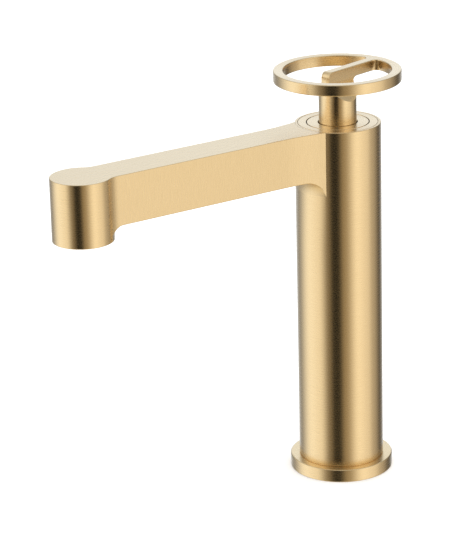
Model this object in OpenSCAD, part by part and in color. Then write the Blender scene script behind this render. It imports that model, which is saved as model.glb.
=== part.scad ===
// Deck-mounted bathroom mixer: a round column, a square-section spout with a round outlet, and a handwheel
// that turns a ceramic-disc cartridge. Millimetres, +Z up, spout along -Y.
// The origin is the centre of the foot, on the deck.

/* [Column] */
// Outer diameter of the column
column_d = 42; // [42:0.5:48]
// Height of the column's top face above the deck
column_h = 179; // [120:1:300]
// Inner diameter of the column below the cartridge
column_bore_d = 34; // [34:0.5:35]
// Outer diameter of the foot flange
flange_d = 51; // [50:0.5:60]
// Height of the foot flange
flange_h = 6.5; // [5.5:0.1:9]

/* [Spout] */
// Width of the spout
spout_w = 20.8; // [18:0.1:24]
// Height of the spout's section
spout_h = 24; // [22:0.5:26]
// Distance from the column's axis to the outlet's axis
spout_reach = 145; // [90:1:180]
// Wall thickness of the spout
spout_wall = 2; // [1.5:0.1:3]
// Outer diameter of the outlet
outlet_d = 29; // [29:0.5:32]
// How far the outlet drops below the spout's underside
outlet_drop = 6.5; // [5:0.5:10]

/* [Handwheel] */
// Outer diameter of the wheel
wheel_d = 62; // [50:1:72]
// Radial width of the wheel's rim
rim_w = 4.8; // [3:0.1:7]
// Thickness of the wheel
wheel_t = 5.4; // [4:0.1:7]
// Height of the wheel's top above the column's top
wheel_rise = 26.1; // [24:0.1:32]
// Width of the spoke
spoke_w = 4.8; // [3:0.1:6]
// Turn of the spoke from straight back
spoke_turn = 12.8; // [0:0.1:90]
// Diameter of the stem under the wheel
stem_d = 18.4; // [17:0.1:18.8]

/* [Cartridge] */
// Outer diameter of the cartridge
cartridge_d = 28; // [28:0.1:28.4]
// Handle travel past the rest position, opening
travel_open = 92; // [60:1:120]
// Handle travel back to the closed stop
travel_close = 13; // [5:1:30]

/* [Connections] */
// Wall diameter of the M10x1 hose threads
hose_thread_d = 9; // [8.8:0.1:9.2]
// Wall diameter of the M8 stud thread
stud_thread_d = 6.8; // [6.6:0.1:7]
// Distance from the axis to each hose thread
hose_offset = 9.5; // [9.4:0.1:9.8]

/* [Hidden] */
$fn = 96;

gold = [0.84, 0.70, 0.44];
raw_brass = [0.74, 0.60, 0.32];
copper = [0.78, 0.47, 0.32];
steel = [0.75, 0.75, 0.76];
rubber = [0.10, 0.10, 0.11];
cartridge_white = [0.90, 0.90, 0.88];
cartridge_grey = [0.45, 0.47, 0.50];
ceramic = [0.96, 0.95, 0.92];

// Clearances: a seated part, and a shaft that turns in its bore
seat_gap = 0.05;
run_gap = 0.05;

// Column and foot
column_r = column_d / 2;
flange_r = flange_d / 2;
bore_r = column_bore_d / 2;
spigot_r = column_r - 1;
lip_z = 1;
joint_line = 0.4;
gasket_r_in = flange_r - 3.9;
gasket_r_out = flange_r - 1.3;
gasket_t = 1.4;

// Inlet block, its ring and the supply tubes
block_r = bore_r + 0.5;
block_z = 4;
block_top = 22;
ring_t = 1.4;
ring_z = block_z - ring_t;
ring_r = block_r + 0.8;
hose_r = hose_thread_d / 2;
stud_r = stud_thread_d / 2;
hose_depth = 10;
stud_depth = 14;
tube_r = 4.5;
tube_bore_r = 3.5;
tube_seat = 5;
tube_bottom = block_top - tube_seat;
seal_groove_r = tube_r + 1.2;
seal_t = 1.6;

// Cartridge seat in the top of the column
top = column_h;
seat_z = top - 31;
bulkhead_z = seat_z - 10;
tube_top = bulkhead_z + tube_seat;
cartridge_r = cartridge_d / 2;
cartridge_bore_r = cartridge_r + 0.1;
nut_r = 17;
nut_z = seat_z + 20;
recess_r = column_r - 1.45;
recess_z = top - 5;
port_x = 7.5;
port_r = 2.3;

// Cartridge stack, from the seat upwards
disc_z = seat_z + 5;
disc_t = 3.5;
moving_z = disc_z + disc_t + 0.02;
moving_t = 3;
carrier_z = moving_z + moving_t;
carrier_t = 3.6;
cavity_r = cartridge_r - 1.4;
cavity_top = carrier_z + carrier_t + 0.5;
moving_r = cavity_r - 1.3;
lug_r = cavity_r - 0.2;
stop_r = moving_r + 0.3;
lug_half = 8;
neck_r = 10;
neck_top = top - 3.5;
seal_heights = [cavity_top + 3, cavity_top + 7];
spindle_r = 5;
clip_z = neck_top + 0.3;
clip_t = 0.8;

// Trim on the column's top face
trim_r_in = recess_r - 4.15;
trim_r_out = recess_r - 0.15;
cover_r = trim_r_in - 0.4;
cover_bore_r = stem_d / 2 + 0.5;
cover_t = 2.6;

// Spout and outlet
spout_z = top - spout_h;
outlet_r = outlet_d / 2;
outlet_z = spout_z - outlet_drop;
half_w = spout_w / 2;
thread_r = 12;
thread_depth = 11.5;
chamber_r = outlet_r - 3.2;
flare_r = 8;
// How far a fillet sinks into the surface it eases into
sink = 0.03;

// Aerator, from the outlet's mouth upwards
aerator_z = outlet_z + 0.5;
insert_z = aerator_z + 1.5;
insert_t = 6.5;
screen_t = 0.6;
aerator_top = aerator_z + 9.5;
washer_t = 1.5;
insert_r = 10.5;

// Handwheel
wheel_r = wheel_d / 2;
wheel_top = top + wheel_rise;
wheel_z = wheel_top - wheel_t;
rim_r = wheel_r - rim_w;
stem_r = stem_d / 2;
stem_z = top + 0.4;
stem_bore_r = 5.25;
stem_bore_top = stem_z + 11;
scoop_r = 8;
scoop_top = wheel_z + 1;
half_spoke = spoke_w / 2;
// How far the ends of the spoke stand off the stem's and the rim's round walls
lug_out = 0.8;
web_r = 3;
nose_r = 3;
edge = 0.5;
screw_z = stem_z + 5.6;
screw_r = 2;
plug_r = 2.4;
upper_spindle_r = 3.5;

// Points of a quarter circle of radius r about c, from angle a
function quarter(c, r, a) = [for (i = [0:4]) c + r * [cos(a + i * 22.5), sin(a + i * 22.5)]];

// A ring between two radii and two heights
module ring(r_in, r_out, z0, z1) {
    translate([0, 0, z0]) rotate_extrude() translate([r_in, 0]) square([r_out - r_in, z1 - z0]);
}

// The left and right copies of a child, mirrored across the spout's plane
module both_sides() {
    children();
    mirror([1, 0, 0]) children();
}

// Plan fillet where the spout's side meets a circle of radius r centred at [0, y]; dir is +1 when the spout
// leaves the circle towards -Y
module plan_fillet(r, y, fillet, dir) {
    reach_x = half_w + fillet;
    span = r + fillet - sink;
    reach_y = sqrt(pow(span, 2) - pow(reach_x, 2));
    centre = [reach_x, y - dir * reach_y];
    inside = [reach_x, -dir * reach_y] * (r - 0.4) / span + [0, y];
    difference() {
        polygon([[half_w - 3, centre[1]], [half_w, centre[1]], inside, inside - [3, -dir * 1.5], [half_w - 3, y]]);
        translate(centre) circle(r = fillet);
    }
}

// Plan of the spout between the column and the outlet
module spout_plan() {
    translate([-half_w, -spout_reach]) square([spout_w, spout_reach]);
    both_sides() plan_fillet(column_r, 0, 5, 1);
    both_sides() plan_fillet(outlet_r, -spout_reach, 10, -1);
}

// Solid of revolution that widens from radius r to r + size over the height size, under the spout
module flare(r, size) {
    translate([0, 0, spout_z - size]) rotate_extrude() difference() {
        square([r + size, size + 0.5]);
        translate([r + size - sink, sink]) circle(r = size);
    }
}

module casting_outside() {
    rotate_extrude() polygon([[0, lip_z], [spigot_r, lip_z], [spigot_r, flange_h], [column_r - 0.4, flange_h],
        [column_r - 0.4, flange_h + joint_line], [column_r, flange_h + joint_line], [column_r, top], [0, top]]);
    translate([0, 0, spout_z]) linear_extrude(spout_h) spout_plan();
    translate([0, -spout_reach, outlet_z]) cylinder(r = outlet_r, h = top - outlet_z);
    intersection() {
        flare(column_r, flare_r);
        translate([-half_w, -column_r - flare_r, spout_z - flare_r]) cube([spout_w, column_r, flare_r + 0.5]);
    }
    intersection() {
        translate([0, -spout_reach, 0]) flare(outlet_r, 4);
        translate([-half_w, -spout_reach, spout_z - 4]) cube([spout_w, outlet_r + 4, 4.5]);
    }
}

module body_casting() {
    color(gold) difference() {
        casting_outside();
        cylinder(r = block_r + seat_gap, h = block_top);
        ring(0, ring_r + seat_gap, ring_z, block_z);
        translate([0, 0, block_top - 1]) cylinder(r = bore_r, h = bulkhead_z - block_top + 1);
        both_sides() translate([hose_offset, 0, bulkhead_z - 1]) cylinder(r = tube_r + seat_gap, h = tube_seat + 1);
        both_sides() translate([hose_offset, 0, bulkhead_z + 1.5]) cylinder(r = seal_groove_r, h = seal_t);
        both_sides() translate([port_x, 0, tube_top - 1]) cylinder(r = port_r, h = seat_z - tube_top + 2);
        translate([0, 0, seat_z]) cylinder(r = cartridge_bore_r, h = 30);
        translate([0, 0, nut_z - 0.5]) cylinder(r = nut_r, h = 20);
        translate([0, 0, recess_z]) cylinder(r = recess_r, h = 10);
        translate([-half_w + spout_wall + 1.5, -column_r - 3, spout_z + spout_wall])
            cube([spout_w - 2 * spout_wall - 3, column_r, 6]);
        translate([-half_w + spout_wall, -spout_reach, spout_z + spout_wall])
            cube([spout_w - 2 * spout_wall, spout_reach - column_r - 2, spout_h - 2 * spout_wall]);
        translate([0, -spout_reach, outlet_z - 1]) cylinder(r = thread_r, h = thread_depth + 1);
        translate([0, -spout_reach, outlet_z]) cylinder(r = chamber_r, h = spout_h + outlet_drop - 2.5);
    }
}

module base_flange() {
    color(gold) difference() {
        rotate_extrude() polygon(concat([[spigot_r - 1.4, 0], [flange_r - 0.3, 0], [flange_r, 0.3]],
            quarter([flange_r - 0.6, flange_h - 0.6], 0.6, 0),
            [[spigot_r + seat_gap, flange_h], [spigot_r + seat_gap, lip_z], [spigot_r - 1.4, lip_z]]));
        ring(gasket_r_in, gasket_r_out, -1, gasket_t);
    }
}

module foot_gasket() {
    color(rubber) ring(gasket_r_in, gasket_r_out, 0, gasket_t);
}

module inlet_block() {
    color(raw_brass) difference() {
        translate([0, 0, block_z]) cylinder(r = block_r, h = block_top - block_z);
        translate([0, 0, block_z - 1]) cylinder(r = stud_r, h = stud_depth + 1);
        both_sides() {
            translate([hose_offset, 0, block_z - 1]) cylinder(r = hose_r, h = hose_depth + 1);
            translate([hose_offset, 0, block_z]) cylinder(r = tube_bore_r, h = block_top);
            translate([hose_offset, 0, tube_bottom]) cylinder(r = tube_r + seat_gap, h = tube_seat + 1);
            translate([hose_offset, 0, tube_bottom + 1.5]) cylinder(r = seal_groove_r, h = seal_t);
        }
    }
}

module block_retaining_ring() {
    color(steel) difference() {
        ring(block_r - 2.3, ring_r, ring_z, block_z);
        translate([-4, 0, 0]) cube([8, 30, 10]);
    }
}

module supply_tube(side) {
    translate([side * hose_offset, 0, 0]) ring(tube_bore_r, tube_r, tube_bottom, tube_top);
}

module hot_supply_tube() {
    color(copper) supply_tube(-1);
}

module cold_supply_tube() {
    color(copper) supply_tube(1);
}

// A seal ring in its groove at each end of each tube
module tube_seals() {
    color(rubber) both_sides() for (z = [tube_bottom + 1.5, bulkhead_z + 1.5])
        translate([hose_offset, 0, 0]) ring(tube_r, seal_groove_r, z, z + seal_t);
}

module cartridge_base() {
    color(cartridge_grey) difference() {
        translate([0, 0, seat_z]) cylinder(r = cartridge_r, h = disc_z - seat_z);
        both_sides() translate([port_x, 0, seat_z - 1]) cylinder(r = port_r, h = 10);
        both_sides() translate([port_x, 0, seat_z - 1]) cylinder(r = port_r + 1.6, h = 2.3);
    }
}

module port_seals() {
    color(rubber) both_sides() translate([port_x, 0, 0]) ring(port_r, port_r + 1.5, seat_z, seat_z + 1.3);
}

// Two inlet ports and a crescent-shaped outlet port
module fixed_ceramic_disc() {
    color(ceramic) difference() {
        translate([0, 0, disc_z]) cylinder(r = cavity_r - seat_gap, h = disc_t);
        both_sides() translate([port_x, 0, disc_z - 1]) cylinder(r = port_r, h = disc_t + 2);
        translate([0, -7, disc_z - 1]) cylinder(r = 2.6, h = disc_t + 2);
    }
}

// Hollow body with mixed-water windows towards the spout, the end stops and the neck for the spindle
module cartridge_housing() {
    color(cartridge_white) {
        difference() {
            rotate_extrude() polygon([[cavity_r, disc_z], [cartridge_r, disc_z], [cartridge_r, nut_z], [neck_r, nut_z],
                [neck_r, neck_top], [spindle_r + run_gap, neck_top], [spindle_r + run_gap, cavity_top],
                [cavity_r, cavity_top]]);
            for (x = [-4.5, 4.5]) translate([x - 2.5, -20, spout_z + 2.2]) cube([5, 12, 5]);
        }
        translate([0, 0, carrier_z + 0.3]) rotate([0, 0, -90 + travel_open + lug_half + 1])
            rotate_extrude(angle = 360 - travel_open - travel_close - 2 * lug_half - 2)
                translate([stop_r, 0]) square([cavity_r - stop_r + 0.2, cavity_top - carrier_z - 0.1]);
    }
}

// Threaded ring that clamps the cartridge, with four key slots
module cartridge_nut() {
    color(raw_brass) difference() {
        rotate_extrude() polygon([[neck_r + 0.3, nut_z], [nut_r - seat_gap, nut_z], [nut_r - seat_gap, recess_z],
            [cover_r - 0.2, recess_z], [cover_r - 0.2, top - cover_t], [neck_r + 0.3, top - cover_t]]);
        for (a = [0:90:270]) rotate([0, 0, a]) translate([neck_r + 2.6, -1.5, top - cover_t - 1.2]) cube([10, 3, 2]);
    }
}

module trim_ring() {
    color(gold) ring(trim_r_in, trim_r_out, recess_z, top);
}

module cover_disc() {
    color(gold) ring(cover_bore_r, cover_r, top - cover_t, top);
}

// Threaded sleeve with a lip at the mouth and two notches for its key
module aerator_housing() {
    color(gold) translate([0, -spout_reach, 0]) difference() {
        rotate_extrude() polygon([[insert_r - 1, aerator_z], [thread_r - 0.35, aerator_z],
            [thread_r - seat_gap, aerator_z + 0.3], [thread_r - seat_gap, aerator_top], [insert_r, aerator_top],
            [insert_r, insert_z], [insert_r - 1, insert_z]]);
        for (a = [45, 225]) rotate([0, 0, a]) translate([insert_r - 2, -1.5, aerator_z - 1]) cube([6, 3, 2]);
    }
}

// Flow straightener: one centre hole and three rings of holes
module aerator_insert() {
    color(cartridge_white) translate([0, -spout_reach, 0]) difference() {
        translate([0, 0, insert_z]) cylinder(r = insert_r - seat_gap, h = insert_t);
        for (row = [0:3])
            for (i = [0:max(row * 6 - 1, 0)])
                rotate([0, 0, i * 60 / max(row, 1)]) translate([row * 2.6, 0, insert_z - 1])
                    cylinder(r = 0.95, h = insert_t + 2, $fn = 24);
    }
}

module aerator_screen() {
    color(steel) translate([0, -spout_reach, 0]) difference() {
        translate([0, 0, insert_z + insert_t]) cylinder(r = insert_r - 0.1, h = screen_t);
        for (i = [0:11]) rotate([0, 0, i * 30]) translate([6.5, 0, insert_z]) cylinder(r = 1, h = 12, $fn = 24);
    }
}

module aerator_washer() {
    color(rubber) translate([0, -spout_reach, 0]) ring(9, thread_r - 0.15, aerator_top, aerator_top + washer_t);
}

// Points round the handle's own frame, whose +Y runs along the spoke
module handle_frame() {
    rotate([0, 0, spoke_turn]) children();
}

// Outline, across the spoke, of what is cut from one side of the stem's top
module scoop_outline() {
    turn_x = half_spoke + scoop_r;
    end = [turn_x - scoop_r * cos(45), scoop_top - scoop_r * sin(45)];
    difference() {
        polygon([[half_spoke, wheel_top + 5], [half_spoke, scoop_top], end, end + [12, -12],
            [turn_x + 12, wheel_top + 5]]);
        difference() {
            polygon([[half_spoke - 1, scoop_top], [half_spoke, scoop_top], end, end - [1, 1]]);
            translate([turn_x, scoop_top]) circle(r = scoop_r);
        }
    }
}

module stem() {
    rotate_extrude() polygon(concat([[0, stem_z], [stem_r - 0.6, stem_z], [stem_r, stem_z + 0.6]],
        quarter([stem_r - nose_r, wheel_top - nose_r], nose_r, 0), [[0, wheel_top]]));
}

// Stretch of the flat bar that joins the stem to the rim
module spoke_bar(from, to) {
    translate([-half_spoke, from, wheel_z]) cube([spoke_w, to - from, wheel_t]);
}

// Web under the spoke that eases it into the back of the stem, between two distances from the axis
module spoke_web(from, to) {
    translate([-half_spoke, 0, 0]) rotate([90, 0, 90]) linear_extrude(spoke_w) difference() {
        translate([from, wheel_z - web_r]) square([to - from, web_r + 1]);
        translate([stem_r + web_r, wheel_z - web_r]) circle(r = web_r);
    }
}

// Flat ring of the handwheel, with the short lug that the spoke is joined to
module wheel_rim() {
    color(gold) handle_frame() union() {
        rotate_extrude() polygon(concat([[rim_r, wheel_z + edge], [rim_r + edge, wheel_z]],
            quarter([wheel_r - edge, wheel_z + edge], edge, -90),
            quarter([wheel_r - edge, wheel_top - edge], edge, 0),
            [[rim_r + edge, wheel_top], [rim_r, wheel_top - edge]]));
        spoke_bar(rim_r - lug_out, rim_r + rim_w / 2);
    }
}

module wheel_spoke() {
    color(gold) handle_frame() union() {
        spoke_bar(stem_r + lug_out / 2, rim_r - lug_out);
        spoke_web(stem_r + lug_out / 2, stem_r + web_r);
    }
}

// Stem of the handle, scooped on both sides of the spoke, with the spline bore and the screw's hole
module handle_stem() {
    color(gold) handle_frame() difference() {
        union() {
            difference() {
                stem();
                both_sides() translate([0, 20, 0]) rotate([90, 0, 0]) linear_extrude(40) scoop_outline();
            }
            spoke_bar(0, stem_r + lug_out / 2);
            spoke_web(stem_r - 2, stem_r + lug_out / 2);
        }
        translate([0, 0, stem_z - 1]) cylinder(r = stem_bore_r, h = stem_bore_top - stem_z + 1);
        translate([0, 0, screw_z]) rotate([-90, 0, 0]) cylinder(r = screw_r, h = 20);
        translate([0, stem_r - 1, screw_z]) rotate([-90, 0, 0]) cylinder(r = plug_r, h = 10);
    }
}

// Hexagon-socket screw that clamps the stem to the adaptor
module grub_screw() {
    color(steel) handle_frame() difference() {
        translate([0, stem_bore_r, screw_z]) rotate([-90, 0, 0]) cylinder(r = screw_r - seat_gap, h = 2.9);
        translate([0, stem_bore_r + 1.4, screw_z]) rotate([-90, 0, 0]) cylinder(r = 1.15, h = 3, $fn = 6);
    }
}

module screw_plug() {
    color(gold) handle_frame() intersection() {
        translate([0, stem_r - 1, screw_z]) rotate([-90, 0, 0]) cylinder(r = plug_r - seat_gap, h = 5);
        translate([0, 0, stem_z]) cylinder(r = stem_r - 0.1, h = 15);
    }
}

module spline_adaptor() {
    color(cartridge_grey) handle_frame() ring(upper_spindle_r, stem_bore_r - seat_gap, top - 1, stem_bore_top - 0.5);
}

// Stepped shaft: square drive at the foot, two seal grooves, a clip groove and the upper drive
module spindle() {
    color(raw_brass) handle_frame() difference() {
        union() {
            rotate_extrude() polygon([[0, carrier_z + carrier_t], [spindle_r, carrier_z + carrier_t],
                [spindle_r, clip_z - 0.1], [upper_spindle_r, clip_z - 0.1], [upper_spindle_r, stem_bore_top - 0.5],
                [0, stem_bore_top - 0.5]]);
            translate([-3, -3, carrier_z + 0.5]) cube([6, 6, carrier_t]);
        }
        for (z = seal_heights) ring(spindle_r - 1.2, spindle_r + 1, z, z + seal_t);
        ring(upper_spindle_r - 0.4, upper_spindle_r + 2, clip_z, clip_z + clip_t);
    }
}

module spindle_seals() {
    color(rubber) handle_frame() for (z = seal_heights) ring(spindle_r - 1.2, spindle_r, z, z + seal_t);
}

module spindle_circlip() {
    color(steel) handle_frame() difference() {
        ring(upper_spindle_r - 0.4, upper_spindle_r + 2.5, clip_z, clip_z + clip_t);
        translate([-2, 0, clip_z - 1]) cube([4, 10, 3]);
    }
}

// Turns the moving disc, and its lug meets the housing's stops at both ends of the travel
module disc_carrier() {
    color(cartridge_grey) difference() {
        union() {
            translate([0, 0, carrier_z]) cylinder(r = moving_r, h = carrier_t);
            translate([0, 0, carrier_z + 0.3]) rotate([0, 0, -90 - lug_half]) rotate_extrude(angle = 2 * lug_half)
                translate([moving_r - 1, 0]) square([lug_r - moving_r + 1, carrier_t - 0.3]);
        }
        rotate([0, 0, spoke_turn]) translate([-3, -3, carrier_z + 0.5]) cube([6, 6, 10]);
    }
}

// Ceramic disc with the mixing chamber on its underside
module moving_ceramic_disc() {
    color(ceramic) difference() {
        translate([0, 0, moving_z]) cylinder(r = moving_r, h = moving_t);
        translate([0, -3, moving_z - 1]) cylinder(r = 5.5, h = 2.6);
    }
}

body_casting();
base_flange();
foot_gasket();
inlet_block();
block_retaining_ring();
hot_supply_tube();
cold_supply_tube();
tube_seals();
cartridge_base();
port_seals();
fixed_ceramic_disc();
cartridge_housing();
cartridge_nut();
trim_ring();
cover_disc();
aerator_housing();
aerator_insert();
aerator_screen();
aerator_washer();
wheel_rim();
wheel_spoke();
handle_stem();
grub_screw();
screw_plug();
spline_adaptor();
spindle();
spindle_seals();
spindle_circlip();
disc_carrier();
moving_ceramic_disc();
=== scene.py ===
import math
import bpy
import bmesh
import numpy as np
from mathutils import Matrix


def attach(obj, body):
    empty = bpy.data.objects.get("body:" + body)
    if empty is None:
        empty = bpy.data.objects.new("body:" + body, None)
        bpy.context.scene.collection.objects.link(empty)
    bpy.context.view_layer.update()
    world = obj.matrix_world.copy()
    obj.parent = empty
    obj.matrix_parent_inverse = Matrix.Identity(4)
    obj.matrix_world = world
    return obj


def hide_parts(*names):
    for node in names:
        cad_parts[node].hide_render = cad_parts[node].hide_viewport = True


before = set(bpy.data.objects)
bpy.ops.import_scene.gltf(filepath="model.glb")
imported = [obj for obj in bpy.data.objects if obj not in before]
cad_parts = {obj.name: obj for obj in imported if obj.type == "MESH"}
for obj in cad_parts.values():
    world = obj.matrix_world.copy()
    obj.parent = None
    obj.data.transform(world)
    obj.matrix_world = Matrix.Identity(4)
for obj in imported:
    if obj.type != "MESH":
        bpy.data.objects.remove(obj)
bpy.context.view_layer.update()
print("frame loaded")


# sRGB hex to the linear values the shaders work in
def linearColour(code):
    shade = np.array([int(code[i:i + 2], 16) / 255 for i in (0, 2, 4)])
    shade = np.where(shade <= 0.04045, shade / 12.92, ((shade + 0.055) / 1.055) ** 2.4)
    return (*shade.tolist(), 1.0)


# Adds a node: inputs take a value or another node's output, everything else is a setting of the node
def addNode(tree, kind, inputs=None, **settings):
    node = tree.nodes.new(kind)
    for name, value in settings.items():
        setattr(node, name, value)
    for name, value in (inputs or {}).items():
        if isinstance(value, bpy.types.NodeSocket):
            tree.links.new(value, node.inputs[name])
        else:
            node.inputs[name].default_value = value
    return node


# Corner-rounded chain: each corner (a, b, radius) becomes an arc tangent to both straights,
# centre = corner + radius / sin(half angle) along the bisector, with a holding point just outside each end
def roundedChain(corners, steps=5, hold=0.12):
    corners = [np.array(c, float) for c in corners]
    chain = [corners[0][:2]]
    for before, here, after in zip(corners, corners[1:], corners[2:]):
        radius = here[2] if len(here) > 2 else 0
        if radius <= 0:
            chain.append(here[:2])
            continue
        one = before[:2] - here[:2]
        two = after[:2] - here[:2]
        one = one / np.linalg.norm(one)
        two = two / np.linalg.norm(two)
        half = math.acos(max(-1, min(1, one @ two))) / 2
        centre = here[:2] + (one + two) / np.linalg.norm(one + two) * radius / math.sin(half)
        reach = radius / math.tan(half)
        start = here[:2] + one * reach - centre
        end = here[:2] + two * reach - centre
        sweep = math.pi - 2 * half
        share = np.linspace(0, 1, steps + 1)[:, None]
        arc = centre + (np.sin((1 - share) * sweep) * start + np.sin(share * sweep) * end) / math.sin(sweep)
        chain += [here[:2] + one * (reach + hold), *arc, here[:2] + two * (reach + hold)]
    chain.append(corners[-1][:2])
    return np.array(chain)


# Running length along a chain of points
def runLength(points):
    steps = np.linalg.norm(np.diff(points, axis=0), axis=-1)
    return np.concatenate(([0], np.cumsum(steps)))


# Profile (radius, height) carried round an upright axis: x = cx + r cos a, y = cy + r sin a, z = height.
# The brush runs round the axis, so u is the way round and v the way along the profile, both in mm
def turned(profile, angles, centre=(0, 0), grainRadius=20):
    radius, height = profile[:, :1], profile[:, 1:]
    points = np.stack((centre[0] + radius * np.cos(angles), centre[1] + radius * np.sin(angles),
                       height + 0 * angles), axis=-1)
    uv = np.stack((0 * radius + angles * grainRadius, runLength(profile)[:, None] + 0 * angles), axis=-1)
    return points, uv


# Same surface with the brush straight along the spout: u is y and v is x
def alongSpout(points):
    return points, points[..., [1, 0]]


# Puts grids of points (mm) into one mesh, welds their shared edges and lets it ride on its body
def makePiece(name, patches, material, body, replaced, sharp=38):
    corners, faces, places, start = [], [], [], 0
    for points, uv in patches:
        rows, cols = points.shape[:2]
        index = start + np.arange(rows * cols).reshape(rows, cols)
        quads = np.stack((index[:-1, :-1], index[1:, :-1], index[1:, 1:], index[:-1, 1:]), -1)
        faces.append(quads.reshape(-1, 4))
        corners.append(points.reshape(-1, 3) / 1000)
        places.append(uv.reshape(-1, 2))
        start += rows * cols
    corners, faces, places = np.concatenate(corners), np.concatenate(faces), np.concatenate(places)
    mesh = bpy.data.meshes.new(name)
    mesh.from_pydata(corners.tolist(), [], faces.tolist())
    brush = mesh.uv_layers.new(name="brush")
    brush.data.foreach_set("uv", places[faces.ravel()].astype(np.float32).ravel())
    work = bmesh.new()
    work.from_mesh(mesh)
    bmesh.ops.remove_doubles(work, verts=work.verts, dist=4e-6)
    bmesh.ops.recalc_face_normals(work, faces=work.faces)
    work.to_mesh(mesh)
    work.free()
    mesh.polygons.foreach_set("use_smooth", [True] * len(mesh.polygons))
    mesh.set_sharp_from_angle(angle=math.radians(sharp))
    mesh.materials.append(material)
    piece = bpy.data.objects.new(name, mesh)
    bpy.context.scene.collection.objects.link(piece)
    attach(piece, body)
    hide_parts(*replaced)
    return piece


# Angles of a full turn in equal steps
def around(steps):
    return np.radians(np.linspace(0, 360, steps + 1))


# Brass under a satin gold coating, brushed in one direction with fine abrasive belts, then clear coated.
# The belt leaves straight hairlines, so highlights stretch across them, and the coat pales grazing faces
brushedGold = {
    "colour": "F5D8A0",
    "streakDark": "F0D298",
    "roughness": 0.27,
    "roughnessSpread": 0.02,
    "stretch": 0.75,
    "lineAcross": 0.35,     # hairlines are about 0.1 mm apart, drawn at 0.35 mm so that they show
    "lineLength": 10.0,
    "fineLines": (2.2, 3.1),     # second set of lines: how many times shorter and closer than the first
    "lineHeight": 0.02,
    "bumpStrength": 0.025,
    "coat": 1.0,
    "coatRoughness": 0.3,
    "coatIor": 1.9,
}


def goldMaterial(name, look):
    material = bpy.data.materials.new(name)
    material.use_nodes = True
    tree = material.node_tree
    tree.nodes.clear()
    shorter, closer = look["fineLines"]
    place = addNode(tree, "ShaderNodeUVMap", uv_map="brush")
    broadMap = addNode(tree, "ShaderNodeMapping", {"Vector": place.outputs[0],
                       "Scale": (1 / look["lineLength"], 1 / look["lineAcross"], 1)})
    # The shift keeps the two sets of lines from starting at the same spot of the noise
    fineMap = addNode(tree, "ShaderNodeMapping", {"Vector": place.outputs[0], "Location": (7.3, 2.1, 0),
                      "Scale": (shorter / look["lineLength"], closer / look["lineAcross"], 1)})
    broad = addNode(tree, "ShaderNodeTexNoise", {"Vector": broadMap.outputs[0], "Scale": 1.0,
                    "Detail": 3.0, "Roughness": 0.65}, noise_dimensions="2D")
    fine = addNode(tree, "ShaderNodeTexNoise", {"Vector": fineMap.outputs[0], "Scale": 1.0,
                   "Detail": 2.0, "Roughness": 0.6}, noise_dimensions="2D")
    lines = addNode(tree, "ShaderNodeMath", {0: broad.outputs[0], 1: fine.outputs[0]}, operation="ADD")
    # The two noises add up to about 1, and this stretches the middle of their spread to 0 to 1
    level = addNode(tree, "ShaderNodeMapRange", {"Value": lines.outputs[0],
                    "From Min": 0.7, "From Max": 1.3})
    tint = addNode(tree, "ShaderNodeMix", {"Factor": level.outputs[0], 6: linearColour(look["streakDark"]),
                   7: linearColour(look["colour"])}, data_type="RGBA")
    gloss = addNode(tree, "ShaderNodeMapRange", {"Value": level.outputs[0],
                    "To Min": look["roughness"] + look["roughnessSpread"],
                    "To Max": look["roughness"] - look["roughnessSpread"]})
    bump = addNode(tree, "ShaderNodeBump", {"Height": level.outputs[0], "Strength": look["bumpStrength"],
                   "Distance": look["lineHeight"] / 1000})
    tangent = addNode(tree, "ShaderNodeTangent", direction_type="UV_MAP", uv_map="brush")
    # The tangent runs along the hairlines, and the quarter turn stretches the highlights across them
    shader = addNode(tree, "ShaderNodeBsdfPrincipled", {"Base Color": tint.outputs[2], "Metallic": 1.0,
                     "Roughness": gloss.outputs[0], "Normal": bump.outputs[0],
                     "Tangent": tangent.outputs[0],
                     "Anisotropic": look["stretch"], "Anisotropic Rotation": 0.25,
                     "Coat Weight": look["coat"], "Coat Roughness": look["coatRoughness"],
                     "Coat IOR": look["coatIor"]})
    addNode(tree, "ShaderNodeOutputMaterial", {"Surface": shader.outputs[0]})
    return material


gold = goldMaterial("brushedSatinGold", brushedGold)

# Body: column, spout and outlet in one casting, in mm. columnCrease is an angle about the column's axis.
# The profiles are (radius, height, corner rounding) about the column's or the outlet's axis
body = {
    "columnRadius": 21.0, "top": 179.0, "spoutWidth": 20.8, "spoutUnder": 155.0, "reach": 145.0,
    "outletRadius": 14.5, "columnBend": 100.0, "columnCrease": -52.5, "outletFillet": 10.0,
    "columnFlare": 8.0, "outletFlare": 4.0, "topEdge": 0.35, "underEdge": 0.5,
    "hold": 0.15,        # narrow row of faces beside a rounding, which keeps the flat next to it flat
    "acrossSteps": 32, "arcSteps": 12, "flatSteps": 33, "heightSteps": 8, "backSteps": 96, "frontSteps": 80,
    # Recess for the trim ring and the cartridge, below the column's top edge
    "recess": [(19.55, 179, 0.15), (19.55, 174), (17, 174), (17, 167.5), (14.1, 167.5), (14.1, 148),
               (0, 148)],
    # Column below the spout, with the shadow groove over the flange, the spigot and the bore
    "shaft": [(21, 120), (21, 80), (21, 40), (21, 6.9, 0.25), (20.6, 6.9), (20.6, 6.5), (20, 6.5), (20, 1),
              (17.55, 1), (17.55, 22), (17, 22), (17, 138), (0, 138)],
    # Outlet below the spout, with its mouth and the aerator's chamber
    "mouth": [(14.5, 148.5, 0.4), (12, 148.5, 0.2), (12, 160), (11.3, 160), (11.3, 176.5), (0, 176.5)],
}


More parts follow.
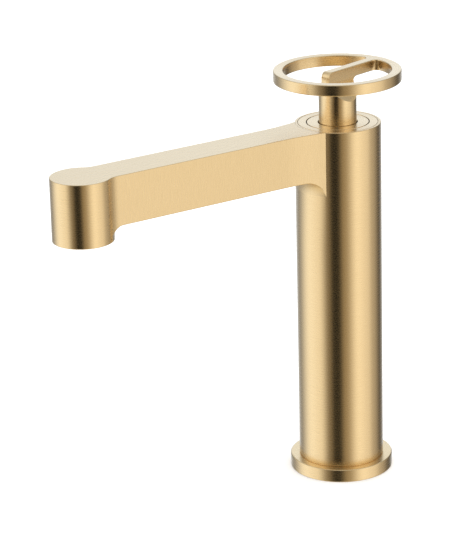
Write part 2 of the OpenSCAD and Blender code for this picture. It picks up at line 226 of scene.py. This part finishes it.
def bodyPatches(d):
    big, small, half = d["columnRadius"], d["outletRadius"], d["spoutWidth"] / 2
    reach, top, under = d["reach"], d["top"], d["spoutUnder"]
    bend, turn, flare, drop = d["columnBend"], d["outletFillet"], d["columnFlare"], d["outletFlare"]
    edge, hold, steps, arcCount = d["topEdge"], d["hold"], d["acrossSteps"], d["arcSteps"] + 1
    bendX, turnX = half + bend, half + turn
    columnTouch = d["columnCrease"]                                     # on the column, from its axis
    bow = math.acos((bendX - big * math.cos(math.radians(columnTouch))) / bend)
    bendY = big * math.sin(math.radians(columnTouch)) - bend * math.sin(bow)
    turnY = -reach + math.sqrt((small + turn) ** 2 - turnX ** 2)
    outletTouch = math.degrees(math.atan2(turnY + reach, turnX))        # on the outlet, from its axis

    # Right side of the plan outline from the column to the outlet: a wide arc that bows the flat out to a
    # crease on the column, the straight flat, and a fillet arc tangent to the flat and to the outlet.
    # Both arcs are hollow, so outwards is towards their centres
    bowTurn = math.pi - np.linspace(bow, 0, arcCount)
    first = np.stack((bendX + bend * np.cos(bowTurn), bendY + bend * np.sin(bowTurn)), -1)
    nearTurn = turnY + 2.2     # the last 2.2 mm of the flat has shorter faces, like the fillet's
    y = np.concatenate((np.linspace(bendY, nearTurn, d["flatSteps"] + 1)[1:],
                        np.linspace(nearTurn, turnY, 5)[1:-1]))
    straight = np.stack((0 * y + half, y), -1)
    filletTurn = np.radians(np.linspace(180, 180 + outletTouch, arcCount))
    last = np.stack((turnX + turn * np.cos(filletTurn), turnY + turn * np.sin(filletTurn)), -1)
    side = np.concatenate((first, straight, last))
    sideOut = np.concatenate((-np.stack((np.cos(bowTurn), np.sin(bowTurn)), -1),
                              np.stack((0 * y + 1, 0 * y), -1),
                              -np.stack((np.cos(filletTurn), np.sin(filletTurn)), -1)))
    fromColumn = np.hypot(side[:, 0], side[:, 1])
    fromOutlet = np.hypot(side[:, 0], side[:, 1] + reach)

    # Underside height: flat, easing down to the column and to the outlet on quarter-round flares
    def underHeight(near, far):
        toColumn = np.clip(big + flare - near, 0, flare)
        toOutlet = np.clip(small + drop - far, 0, drop)
        return (under - flare + np.sqrt(flare ** 2 - toColumn ** 2)) * (near < big + flare) + \
            (under - drop + np.sqrt(drop ** 2 - toOutlet ** 2)) * (far < small + drop) + \
            under * ((near >= big + flare) & (far >= small + drop))

    # The lower rounding fades in over the first 4 mm from the column and 3 mm from the outlet
    soft = d["underEdge"] * np.clip((fromColumn - big) / 4, 0, 1) * np.clip((fromOutlet - small) / 3, 0, 1)
    inner = side - soft[:, None] * sideOut
    innerUnder = underHeight(np.maximum(np.hypot(inner[:, 0], inner[:, 1]), big),
                             np.maximum(np.hypot(inner[:, 0], inner[:, 1] + reach), small))
    ease = np.radians(np.linspace(0, 90, 6))

    # Top rounding of a wall: inset = e(1 - cos t), height = top - e + e sin t
    inset = np.concatenate(([0], edge * (1 - np.cos(ease))))
    height = np.concatenate(([top - edge - hold], top - edge + edge * np.sin(ease)))

    # Side wall rows: lower rounding, plain wall, upper rounding
    lowInset = np.stack([soft * (1 - math.cos(t)) for t in ease[::-1]])
    lowHeight = np.stack([innerUnder + soft * (1 - math.sin(t)) for t in ease[::-1]])
    foot = lowHeight[-1]
    rise = np.linspace(0, 1, d["heightSteps"] + 1)[:, None]
    middle = foot + hold + (top - edge - 2 * hold - foot) * rise
    wallInset = np.concatenate((lowInset, 0 * middle, np.repeat(inset[:, None], len(side), 1)))
    wallHeight = np.concatenate((lowHeight, middle, np.repeat(height[:, None], len(side), 1)))
    wallX = side[:, 0] - wallInset * sideOut[:, 0]
    wallY = side[:, 1] - wallInset * sideOut[:, 1]
    way = runLength(side)
    wallUv = np.stack((wallHeight, way + 0 * wallHeight), -1)
    rightWall = np.stack((wallX, wallY, wallHeight), -1)
    leftWall = rightWall * (-1, 1, 1)

    # Top and underside of the spout: row k runs across from right to left through the outline's inset
    # points, as an arc about the column near it, as an arc about the outlet near that, and straight between
    def across(edgePoints, nearArc, farArc):
        share = np.linspace(1, -1, steps + 1)
        x0 = edgePoints[:, :1]
        near = np.hypot(edgePoints[:, 0], edgePoints[:, 1])[:, None]
        far = np.hypot(edgePoints[:, 0], edgePoints[:, 1] + reach)[:, None]
        startTurn = math.atan2(edgePoints[0, 0], -edgePoints[0, 1])
        endTurn = math.atan2(edgePoints[-1, 0], edgePoints[-1, 1] + reach)
        sineStart = np.sin(share * startTurn) / math.sin(startTurn)
        sineEnd = np.sin(share * endTurn) / math.sin(endTurn)
        # The spacing across passes from the outlet's to the column's between 20 and reach - 40 mm out
        blend = np.clip((edgePoints[:, 1:2] + reach - 20) / (reach - 60), 0, 1)
        x = x0 * (blend * sineStart + (1 - blend) * sineEnd)
        columnArc = -np.sqrt(np.maximum(near ** 2 - x ** 2, 0))
        outletArc = -reach + np.sqrt(np.maximum(far ** 2 - x ** 2, 0))
        y0 = edgePoints[:, 1:2]
        return x, y0 + nearArc[:, None] * (columnArc - y0) + farArc[:, None] * (outletArc - y0)

    # Rows are full arcs within 30 mm of the column's axis and 20 mm of the outlet's, and have faded to
    # straight by 45 and 32 mm
    nearArc = np.clip((45 - fromColumn) / 15, 0, 1)
    farArc = np.clip((32 - fromOutlet) / 12, 0, 1)
    topRim = side - edge * sideOut
    x, y = across(topRim, nearArc, farArc)
    spoutTop = np.stack((x, y, 0 * x + top), -1)
    x, y = across(inner, nearArc, farArc)
    lower = underHeight(np.maximum(np.hypot(x, y), big), np.maximum(np.hypot(x, y + reach), small))
    spoutUnder = np.stack((x, y, lower), -1)

    # Angles round the column and the outlet, so that every patch meets its neighbours point for point
    backAngles = np.radians(np.linspace(columnTouch, 180 - columnTouch, d["backSteps"] + 1))
    frontColumn = np.arctan2(spoutUnder[0, :, 1], spoutUnder[0, :, 0])[::-1] + 2 * math.pi
    columnAngles = np.concatenate((backAngles, frontColumn[1:]))
    mouthAngles = np.radians(np.linspace(180 - outletTouch, 360 + outletTouch, d["frontSteps"] + 1))
    backOutlet = np.arctan2(spoutUnder[-1, :, 1] + reach, spoutUnder[-1, :, 0]) + 2 * math.pi
    outletAngles = np.concatenate((mouthAngles, backOutlet[1:]))

    # Back of the column and front of the outlet
    def uprightWall(radius, wallFoot):
        plain = np.linspace(wallFoot, top - edge - 2 * hold, d["heightSteps"] + 1)
        rowRadius = np.concatenate((0 * plain + radius, radius - inset))
        return np.stack((rowRadius, np.concatenate((plain, height))), -1)

    columnFoot, outletFoot = under - flare, under - drop
    columnBack = turned(uprightWall(big, columnFoot), backAngles, (0, 0), big)
    outletFront = turned(uprightWall(small, outletFoot), mouthAngles, (0, -reach), small)

    # The recess, the column and the outlet's skirt start from the edges made above
    recess = roundedChain([(big - edge, top)] + d["recess"], 3, 0.1)
    topRing = alongSpout(turned(recess[:2], columnAngles)[0])
    recessWall = turned(recess[1:], columnAngles)
    column = turned(roundedChain([(big, columnFoot)] + d["shaft"], 4, 0.1), columnAngles, (0, 0), big)
    skirt = turned(roundedChain([(small, outletFoot)] + d["mouth"], 4, 0.1), outletAngles, (0, -reach), small)
    # Top disc of the outlet, in rings that keep its shading flat
    disc = turned(np.array([(small - edge, top), (small - edge - 0.2, top), (9, top), (4, top), (0, top)]),
                  outletAngles, (0, -reach))
    return [columnBack, outletFront, (rightWall, wallUv), (leftWall, wallUv * (1, -1)),
            alongSpout(spoutTop), alongSpout(spoutUnder), topRing, recessWall, column,
            alongSpout(disc[0]), skirt]


bodyPiece = makePiece("brushedBody", bodyPatches(body), gold, "body", ["body_casting"])
print("body made:", len(bodyPiece.data.polygons), "faces")

# Handwheel: rim, spoke and scooped stem in one piece, in mm; spokeTurn is its turn about the column's axis
handwheel = {
    "rimRadius": 31.0, "rimInner": 26.2, "top": 205.1, "under": 199.7, "edge": 0.5,
    "spokeWidth": 4.8, "spokeTurn": 12.8, "spokeFillet": 2.5, "web": 3.0,
    "stemRadius": 9.2, "stemFoot": 178.4, "noseRounding": 3.0, "scoopStart": 200.7, "scoopRadius": 8.0,
    "bore": 5.25, "boreTop": 190.4, "acrossSteps": 10,
}


# Turns points from the handle's own frame, whose +Y runs along the spoke, into the object's
def turnHandle(points, degrees):
    a = math.radians(degrees)
    x, y = points[..., 0], points[..., 1]
    return np.stack((x * math.cos(a) - y * math.sin(a), x * math.sin(a) + y * math.cos(a),
                     points[..., 2]), -1)


def wheelPatches(d):
    half, inner, fillet, stem = d["spokeWidth"] / 2, d["rimInner"], d["spokeFillet"], d["stemRadius"]
    top, under, edge, web, start = d["top"], d["under"], d["edge"], d["web"], d["scoopStart"]
    ease = np.radians(np.linspace(0, 90, 6))
    share = np.linspace(-1, 1, d["acrossSteps"] + 1)

    # Right side of the spoke in plan, from the stem outwards: straight, then a fillet arc tangent to the rim
    middleX = half + fillet
    middleY = math.sqrt((inner - fillet) ** 2 - middleX ** 2)
    reach = np.concatenate((np.linspace(stem, stem + web, 9),
                            np.linspace(stem + web, math.hypot(half, middleY), 9)[1:]))
    line = np.stack((0 * reach + half, np.sqrt(reach ** 2 - half ** 2)), -1)
    a = np.linspace(math.pi, math.atan2(middleY, middleX), 13)[1:]
    arc = np.stack((middleX + fillet * np.cos(a), middleY + fillet * np.sin(a)), -1)
    side = np.concatenate((line, arc))
    out = np.concatenate((np.stack((0 * reach + 1, 0 * reach), -1), -np.stack((np.cos(a), np.sin(a)), -1)))

    # Underside: flat, dropping to the stem on a quarter round about (stem + web, under - web)
    radius = np.hypot(side[:, 0], side[:, 1])
    floor = under - web + np.sqrt(web ** 2 - np.clip(stem + web - radius, 0, web) ** 2)

    # Section of the spoke: edge roundings inset = e(1 - cos t) below and above a plain wall
    inset = np.concatenate((edge * (1 - np.cos(ease[::-1])), [0, 0, 0, 0, 0], edge * (1 - np.cos(ease))))
    low = floor[:, None] + edge - edge * np.sin(ease[::-1])
    wall = np.repeat([[start, top - 2.9, top - 1.6, top - 0.8]], len(side), 0)
    high = np.repeat((top - edge + edge * np.sin(ease))[None], len(side), 0)
    height = np.concatenate((low, floor[:, None] + edge + 0.1, wall, high), 1)
    x = side[:, :1] - inset * out[:, :1]
    y = side[:, 1:] - inset * out[:, 1:]
    right = np.stack((x, y, height), -1)

    # Straight across from edge to edge, on the circle about the axis through both
    def bridge(edgePoints):
        far = np.hypot(edgePoints[:, :1], edgePoints[:, 1:2])
        bx = edgePoints[:, :1] * share
        return np.stack((bx, np.sqrt(far ** 2 - bx ** 2), 0 * bx + edgePoints[:, 2:]), -1)

    def grainAlong(points):
        return points, np.stack((points[..., 1], points[..., 0] + points[..., 2]), -1)

    spoke = [grainAlong(right), grainAlong(right * (-1, 1, 1)), grainAlong(bridge(right[:, -1])),
             grainAlong(bridge(right[:, 0]))]

    # Half of the profile across the stem's top: 45 degree slope, arc of the scoop, blade wall, rounded edge
    arcX, arcR = half + d["scoopRadius"], d["scoopRadius"]
    slopeX, slopeZ = arcX - arcR * math.cos(math.pi / 4), start - arcR * math.sin(math.pi / 4)
    slope = stem * np.sin(np.linspace(math.pi / 2, math.asin(slopeX / stem), 15))
    bowl = np.linspace(math.radians(225), math.pi, 9)[1:]
    upper = right[0, 7:]     # the spoke's section at the stem, from the scoop's height up
    profileX = np.concatenate((slope, arcX + arcR * np.cos(bowl), upper[1:, 0]))
    profileZ = np.concatenate((slopeZ - (slope - slopeX), start + arcR * np.sin(bowl), upper[1:, 2]))
    scoopCount = len(slope) + len(bowl)
    inScoop = np.arange(len(profileX)) < scoopCount
    back = np.where(inScoop, np.sqrt(np.maximum(stem ** 2 - profileX ** 2, 0)), side[0, 1])

    # Front end of the blade keeps the stem's round wall, with a larger rounding at its top
    def endRadius(z):
        rise = np.clip(z - (top - d["noseRounding"]), 0, d["noseRounding"])
        return stem - d["noseRounding"] + np.sqrt(d["noseRounding"] ** 2 - rise ** 2)

    front = -np.sqrt(np.maximum(endRadius(profileZ) ** 2 - profileX ** 2, 0))
    along = np.concatenate(([0, 0.01], np.linspace(0.06, 0.94, 9), [0.99, 1]))[:, None]
    blade = np.stack((0 * along + profileX, front + along * (back - front), 0 * along + profileZ), -1)
    crownX = profileX[-1] * share
    crownBack = np.sqrt(profileX[-1] ** 2 + side[0, 1] ** 2 - crownX ** 2)
    crownFront = -np.sqrt(endRadius(top) ** 2 - crownX ** 2)
    crownY = crownFront + along * (crownBack - crownFront)
    crown = np.stack((0 * along + crownX, crownY, 0 * crownY + top), -1)
    endX = profileX[scoopCount - 1:, None] * share
    endZ = profileZ[scoopCount - 1:, None] + 0 * endX
    nose = np.stack((endX, -np.sqrt(endRadius(endZ) ** 2 - endX ** 2), endZ), -1)
    scoops = [grainAlong(blade), grainAlong(blade * (-1, 1, 1)), grainAlong(crown)]

    # Stem's wall hangs from the scoops' edge all round, then turns under and up into the bore
    rimX = profileX[:scoopCount][::-1]
    rimZ = profileZ[:scoopCount][::-1]
    turnRight = np.arcsin(np.clip(rimX / stem, -1, 1))
    backTurn = np.concatenate((turnRight, math.pi - turnRight[::-1][1:]))
    backTop = np.concatenate((rimZ, rimZ[::-1][1:]))
    noseTurn = math.pi + np.arcsin(-half * share[::-1] / stem)
    rearTurn = np.arcsin(half * share / stem) + 2 * math.pi
    turnAll = np.concatenate((backTurn, noseTurn[1:-1], 2 * math.pi - backTurn[::-1], rearTurn[1:]))
    # Behind the blade the wall ends at the spoke's underside, and it closes at the scoop's height
    topAll = np.concatenate((backTop, 0 * noseTurn[1:-1] + start, backTop[::-1], 0 * rearTurn[1:] + under))
    topAll[-1] = start
    drop = np.linspace(0, 1, 9)[:, None]
    foot = roundedChain([(stem, d["stemFoot"] + 0.9), (stem, d["stemFoot"], 0.5),
                         (d["bore"], d["stemFoot"], 0.1), (d["bore"], d["boreTop"]),
                         (0.0, d["boreTop"])], 4, 0.1)
    stemZ = np.concatenate((topAll + drop * (foot[0, 1] - topAll), foot[1:, 1:] + 0 * topAll))
    stemR = np.concatenate((0 * drop + stem, foot[1:, :1]))
    wallPoints = np.stack((stemR * np.sin(turnAll), stemR * np.cos(turnAll), stemZ), -1)
    wallUv = np.stack((turnAll * stem + 0 * stemZ, stemZ - stemR), -1)
    noseUv = np.stack((nose[..., 0], nose[..., 2]), -1)

    # Rim: outside and faces all round, inner wall only where the spoke doesn't meet it
    touch = math.atan2(side[-1, 0], side[-1, 1])
    rest = np.linspace(touch, 2 * math.pi - touch, 121)
    zone = np.arcsin(share * math.sin(touch)) + 2 * math.pi
    ringTurn = math.pi / 2 - np.concatenate((rest, zone[1:]))
    shell = roundedChain([(inner + edge, top), (d["rimRadius"], top, edge), (d["rimRadius"], under, edge),
                          (inner + edge, under)])
    wallChain = np.stack((inner + inset, height[-1]), -1)
    rim = [turned(shell, ringTurn, (0, 0), 28), turned(wallChain, math.pi / 2 - rest, (0, 0), 28)]
    patches = spoke + scoops + [(nose, noseUv), (wallPoints, wallUv)] + rim
    return [(turnHandle(points, d["spokeTurn"]), uv) for points, uv in patches]


wheelPiece = makePiece("brushedHandwheel", wheelPatches(handwheel), gold, "handle",
                       ["wheel_rim", "wheel_spoke", "handle_stem"])

# Plug over the clamp screw at the back of the stem: a shallow button that follows the stem's round wall,
# y = sqrt(R^2 - x^2) less an edge rounding
screwPlug = {
    "radius": 2.35, "height": 185.0, "stemRadius": 9.2, "stand": 0.06, "depth": 1.0, "edge": 0.15,
}


def plugPatches(d, spokeTurn):
    angles = around(40)
    chain = roundedChain([(0, 0), (d["radius"], 0, d["edge"]), (d["radius"], -d["depth"]),
                          (0, -d["depth"])], 4, 0.05)
    x = chain[:, :1] * np.cos(angles)
    z = d["height"] + chain[:, :1] * np.sin(angles)
    y = np.sqrt((d["stemRadius"] + d["stand"]) ** 2 - x ** 2) + chain[:, 1:]
    points = np.stack((x, y, z), -1)
    return [(turnHandle(points, spokeTurn), np.stack((x, z + 0 * y), -1))]


makePiece("screwPlugButton", plugPatches(screwPlug, handwheel["spokeTurn"]), gold, "handle",
          ["screw_plug"])
print("handwheel made:", len(wheelPiece.data.polygons), "faces")

# Turned parts: each is a closed profile (radius, height, corner rounding) in mm, carried round its axis
turnedParts = {
    "brushedFlange": {"node": "base_flange", "centre": (0, 0), "grain": 25.5, "profile": [
        (18.6, 0.5), (18.6, 1), (20.05, 1), (20.05, 6.5, 0.15), (25.5, 6.5, 0.6), (25.5, 0, 0.3), (24.2, 0),
        (24.2, 1.4), (21.6, 1.4), (21.6, 0), (18.6, 0), (18.6, 0.5)]},
    "brushedTrimRing": {"node": "trim_ring", "centre": (0, 0), "grain": 17.5, "profile": [
        (15.4, 176), (15.4, 179, 0.2), (19.4, 179, 0.2), (19.4, 174, 0.2), (15.4, 174, 0.2), (15.4, 176)]},
    "brushedCoverDisc": {"node": "cover_disc", "centre": (0, 0), "grain": 12.5, "profile": [
        (9.7, 177.5), (9.7, 179, 0.2), (15, 179, 0.2), (15, 176.4, 0.2), (9.7, 176.4, 0.2), (9.7, 177.5)]},
    "brushedAeratorSleeve": {"node": "aerator_housing", "centre": (0, -145), "grain": 11.5, "profile": [
        (9.5, 150), (9.5, 149, 0.2), (11.95, 149, 0.2), (11.95, 158.5, 0.2), (10.5, 158.5), (10.5, 150.5),
        (9.5, 150.5), (9.5, 150)]},
}
for partName, part in turnedParts.items():
    chain = roundedChain(part["profile"], 4, 0.1)
    makePiece(partName, [turned(chain, around(144), part["centre"], part["grain"])],
              gold, "body", [part["node"]])
print("turned parts made:", len(turnedParts))

# Inner parts: their shapes come from the frame, their finishes from here. Each look has two tones that vary
# over patches of grainSize mm, a roughness and its spread, and fine marks markSize mm apart. The marks are
# level rings on the turned brass, and a plain speckle on the others
innerLooks = {
    # Free-cutting brass, turned and left bare: warm yellow with tool rings. Real ones are about 0.2 mm
    # apart, drawn far coarser so that they show
    "turnedBrass": {"tones": ("D8B36A", "BE9850"), "metallic": 1.0, "roughness": 0.3, "spread": 0.1,
                    "grainSize": 6.0, "markSize": 3.77, "markDepth": 0.02, "rings": True,
                    "nodes": ["inlet_block", "cartridge_nut", "spindle"]},
    # Drawn copper tube: smooth along its length, slightly darkened by handling
    "drawnCopper": {"tones": ("CE8A62", "A9643F"), "metallic": 1.0, "roughness": 0.26, "spread": 0.08,
                    "grainSize": 9.0, "markSize": 0.5, "markDepth": 0.01, "rings": False,
                    "nodes": ["hot_supply_tube", "cold_supply_tube"]},
    # Stainless spring wire and mesh: cool grey with a fine drawn finish
    "drawnStainless": {"tones": ("C9C9CB", "A4A5A8"), "metallic": 1.0, "roughness": 0.3, "spread": 0.06,
                       "grainSize": 3.0, "markSize": 0.4, "markDepth": 0.01, "rings": False,
                       "nodes": ["block_retaining_ring", "aerator_screen", "grub_screw", "spindle_circlip"]},
    # Moulded EPDM rubber: near black, matt, with a fine mould texture
    "mouldedRubber": {"tones": ("1E1E20", "121213"), "metallic": 0.0, "roughness": 0.66, "spread": 0.08,
                      "grainSize": 2.0, "markSize": 0.3, "markDepth": 0.03, "rings": False,
                      "nodes": ["foot_gasket", "tube_seals", "port_seals", "aerator_washer",
                                "spindle_seals"]},
    # Injection-moulded acetal: creamy white with a low sheen
    "whiteAcetal": {"tones": ("F1F0EA", "E3E1D8"), "metallic": 0.0, "roughness": 0.38, "spread": 0.05,
                    "grainSize": 5.0, "markSize": 0.5, "markDepth": 0.01, "rings": False,
                    "nodes": ["cartridge_housing", "aerator_insert"]},
    # Glass-filled nylon: mid grey, faintly mottled by the fibres near its skin
    "greyNylon": {"tones": ("7B8086", "666B71"), "metallic": 0.0, "roughness": 0.5, "spread": 0.1,
                  "grainSize": 1.5, "markSize": 0.35, "markDepth": 0.02, "rings": False,
                  "nodes": ["cartridge_base", "spline_adaptor", "disc_carrier"]},
    # Lapped alumina: ivory white, almost polished
    "lappedAlumina": {"tones": ("F5F2EA", "EAE6DB"), "metallic": 0.0, "roughness": 0.16, "spread": 0.04,
                      "grainSize": 2.5, "markSize": 0.3, "markDepth": 0.005, "rings": False,
                      "nodes": ["fixed_ceramic_disc", "moving_ceramic_disc"]},
}


def innerMaterial(name, look):
    material = bpy.data.materials.new(name)
    material.use_nodes = True
    tree = material.node_tree
    tree.nodes.clear()
    place = addNode(tree, "ShaderNodeTexCoord")
    patch = addNode(tree, "ShaderNodeTexNoise", {"Vector": place.outputs["Object"],
                    "Scale": 1000 / look["grainSize"], "Detail": 3.0})
    if look["rings"]:
        # A wave at scale 1 repeats every pi / 10 units, and a unit is a metre here
        marks = addNode(tree, "ShaderNodeTexWave", {"Vector": place.outputs["Object"],
                        "Scale": 1000 / look["markSize"] * math.pi / 10, "Distortion": 0.4, "Detail": 1.0},
                        wave_type="BANDS", bands_direction="Z").outputs["Fac"]
    else:
        marks = addNode(tree, "ShaderNodeTexNoise", {"Vector": place.outputs["Object"],
                        "Scale": 1000 / look["markSize"], "Detail": 2.0}).outputs[0]
    level = addNode(tree, "ShaderNodeMapRange", {"Value": patch.outputs[0],
                    "From Min": 0.35, "From Max": 0.65})
    light, dark = look["tones"]
    tint = addNode(tree, "ShaderNodeMix", {"Factor": level.outputs[0], 6: linearColour(dark),
                   7: linearColour(light)}, data_type="RGBA")
    gloss = addNode(tree, "ShaderNodeMapRange", {"Value": marks,
                    "To Min": look["roughness"] - look["spread"],
                    "To Max": look["roughness"] + look["spread"]})
    bump = addNode(tree, "ShaderNodeBump", {"Height": marks, "Strength": 0.4,
                   "Distance": look["markDepth"] / 1000})
    shader = addNode(tree, "ShaderNodeBsdfPrincipled", {"Base Color": tint.outputs[2],
                     "Metallic": look["metallic"], "Roughness": gloss.outputs[0], "Normal": bump.outputs[0]})
    addNode(tree, "ShaderNodeOutputMaterial", {"Surface": shader.outputs[0]})
    return material


for lookName, look in innerLooks.items():
    finish = innerMaterial(lookName, look)
    for nodeName in look["nodes"]:
        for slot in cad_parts[nodeName].material_slots:
            slot.material = finish
print("inner finishes set:", len(innerLooks))

# Light, floor and camera; lengths in metres
studio = {
    "floorColour": "F4F4F4", "floorHalf": 20, "floorSteps": 4,
    "lampPower": 160, "lampSize": 4.0, "lampHeight": 3.5,
    "facing": -35,       # direction the main camera stands in, in degrees about the upright axis
    # Soft walls round the object: (turn from the camera's direction, brightness, warmth; below 0 is cooler).
    # A dark gap near the camera, a large bright panel on each side, dim corners and a bright wall behind
    "walls": [(-180, 0.95, -0.25), (-140, 0.3, 0.0), (-90, 1.1, 0.0), (-60, 1.0, 0.1), (-30, 0.2, 0.6),
              (-18, 0.0, 1.0), (-4, 0.0, 1.0), (14, 0.35, 0.6), (50, 1.1, 0.15), (80, 0.9, 0.2),
              (100, 0.5, 0.3), (135, 0.1, 0.4), (180, 0.95, -0.25)],
    "warmWhite": "FFD890",
    # Tones overhead and below, and the span of a ray's upward part over which each takes over
    "overhead": (0.6, 0.6, 0.6, 1), "overheadSpan": (0.35, 0.95),
    "below": (0.8, 0.7, 0.5, 1), "belowSpan": (-0.55, -1.0),
}


def buildStudio(d):
    scene = bpy.context.scene
    scene.view_settings.view_transform = "Standard"
    world = bpy.data.worlds.new("softStudio")
    scene.world = world
    world.use_nodes = True
    tree = world.node_tree
    tree.nodes.clear()
    ray = addNode(tree, "ShaderNodeTexCoord")
    parts = addNode(tree, "ShaderNodeSeparateXYZ", {0: ray.outputs["Generated"]})
    angle = addNode(tree, "ShaderNodeMath", {0: parts.outputs[1], 1: parts.outputs[0]}, operation="ARCTAN2")
    turn = addNode(tree, "ShaderNodeMath", {0: angle.outputs[0], 1: math.radians(d["facing"])},
                   operation="SUBTRACT")
    wrap = addNode(tree, "ShaderNodeMath", {0: turn.outputs[0], 1: math.pi, 2: -math.pi}, operation="WRAP")
    share = addNode(tree, "ShaderNodeMapRange", {"Value": wrap.outputs[0], "From Min": -math.pi,
                    "From Max": math.pi})
    walls = addNode(tree, "ShaderNodeValToRGB", {0: share.outputs[0]})
    ramp = walls.color_ramp
    ramp.interpolation = "EASE"
    ramp.elements[0].position, ramp.elements[1].position = 0.0, 1.0
    for side, bright, glow in d["walls"][1:-1]:
        ramp.elements.new((side + 180) / 360)
    # Wall tone = brightness * (1 - warmth + warmth * warm white)
    warm = np.array(linearColour(d["warmWhite"])[:3])
    for element, (side, bright, glow) in zip(ramp.elements, d["walls"]):
        element.color = (*(bright * (1 - glow + glow * warm)).tolist(), 1.0)
    lift = addNode(tree, "ShaderNodeMapRange", {"Value": parts.outputs[2],
                   "From Min": d["overheadSpan"][0], "From Max": d["overheadSpan"][1]},
                   interpolation_type="SMOOTHSTEP")
    dome = addNode(tree, "ShaderNodeMix", {"Factor": lift.outputs[0], 6: walls.outputs[0],
                   7: d["overhead"]}, data_type="RGBA")
    under = addNode(tree, "ShaderNodeMapRange", {"Value": parts.outputs[2],
                    "From Min": d["belowSpan"][0], "From Max": d["belowSpan"][1]},
                    interpolation_type="SMOOTHSTEP")
    full = addNode(tree, "ShaderNodeMix", {"Factor": under.outputs[0], 6: dome.outputs[2],
                   7: d["below"]}, data_type="RGBA")
    light = addNode(tree, "ShaderNodeBackground", {"Color": full.outputs[2], "Strength": 1.0})
    addNode(tree, "ShaderNodeOutputWorld", {"Surface": light.outputs[0]})

    # Pale floor, kept out of reflections so that the metal mirrors the soft walls alone
    mesh = bpy.data.meshes.new("floor")
    grid = np.linspace(-d["floorHalf"], d["floorHalf"], d["floorSteps"] + 1)
    spots = np.stack((*np.meshgrid(grid, grid), np.zeros((len(grid), len(grid)))), -1).reshape(-1, 3)
    index = np.arange(len(spots)).reshape(len(grid), len(grid))
    quads = np.stack((index[:-1, :-1], index[:-1, 1:], index[1:, 1:], index[1:, :-1]), -1).reshape(-1, 4)
    mesh.from_pydata(spots.tolist(), [], quads.tolist())
    floor = bpy.data.objects.new("floor", mesh)
    scene.collection.objects.link(floor)
    floor.visible_glossy = False
    paint = bpy.data.materials.new("paleFloorPaint")
    paint.use_nodes = True
    shader = paint.node_tree.nodes["Principled BSDF"]
    shader.inputs["Base Color"].default_value = linearColour(d["floorColour"])
    shader.inputs["Roughness"].default_value = 0.9
    shader.inputs["Specular IOR Level"].default_value = 0.0
    mesh.materials.append(paint)

    # Broad overhead lamp for the floor and a soft contact shadow; it doesn't show in the metal
    lamp = bpy.data.lights.new("overheadLamp", "AREA")
    lamp.shape = "DISK"
    lamp.size = d["lampSize"]
    lamp.energy = d["lampPower"]
    holder = bpy.data.objects.new("overheadLamp", lamp)
    holder.matrix_world = Matrix.Translation((0, 0, d["lampHeight"]))
    holder.visible_glossy = False
    scene.collection.objects.link(holder)


# Camera placed by its turn and height round the column's foot, its roll, its distance, and a slide aside
# and up in its own plane; angles in degrees, lengths in metres, lens in mm
view = {
    "turn": 56.4, "height": 19.0, "roll": -1.5, "distance": 1.294, "lens": 172.2, "aside": -0.0585,
    "raise": 0.0987,
}


def placeCamera(d):
    a, e, r = (math.radians(d[k]) for k in ("turn", "height", "roll"))
    back = np.array([math.sin(a) * math.cos(e), -math.cos(a) * math.cos(e), math.sin(e)])
    right = np.array([math.cos(a), math.sin(a), 0])
    up = np.cross(back, right)
    across = math.cos(r) * right + math.sin(r) * up
    tall = -math.sin(r) * right + math.cos(r) * up
    spot = back * d["distance"] + across * d["aside"] + tall * d["raise"]
    data = bpy.data.cameras.new("mainCamera")
    data.lens = d["lens"]
    data.sensor_fit = "VERTICAL"
    data.sensor_height = 36
    data.clip_end = 60
    camera = bpy.data.objects.new("mainCamera", data)
    bpy.context.scene.collection.objects.link(camera)
    placed = np.eye(4)
    placed[:3, 0], placed[:3, 1], placed[:3, 2], placed[:3, 3] = across, tall, back, spot
    camera.matrix_world = Matrix(placed.tolist())
    bpy.context.scene.camera = camera


buildStudio(studio)
placeCamera(view)
print("studio and camera set")
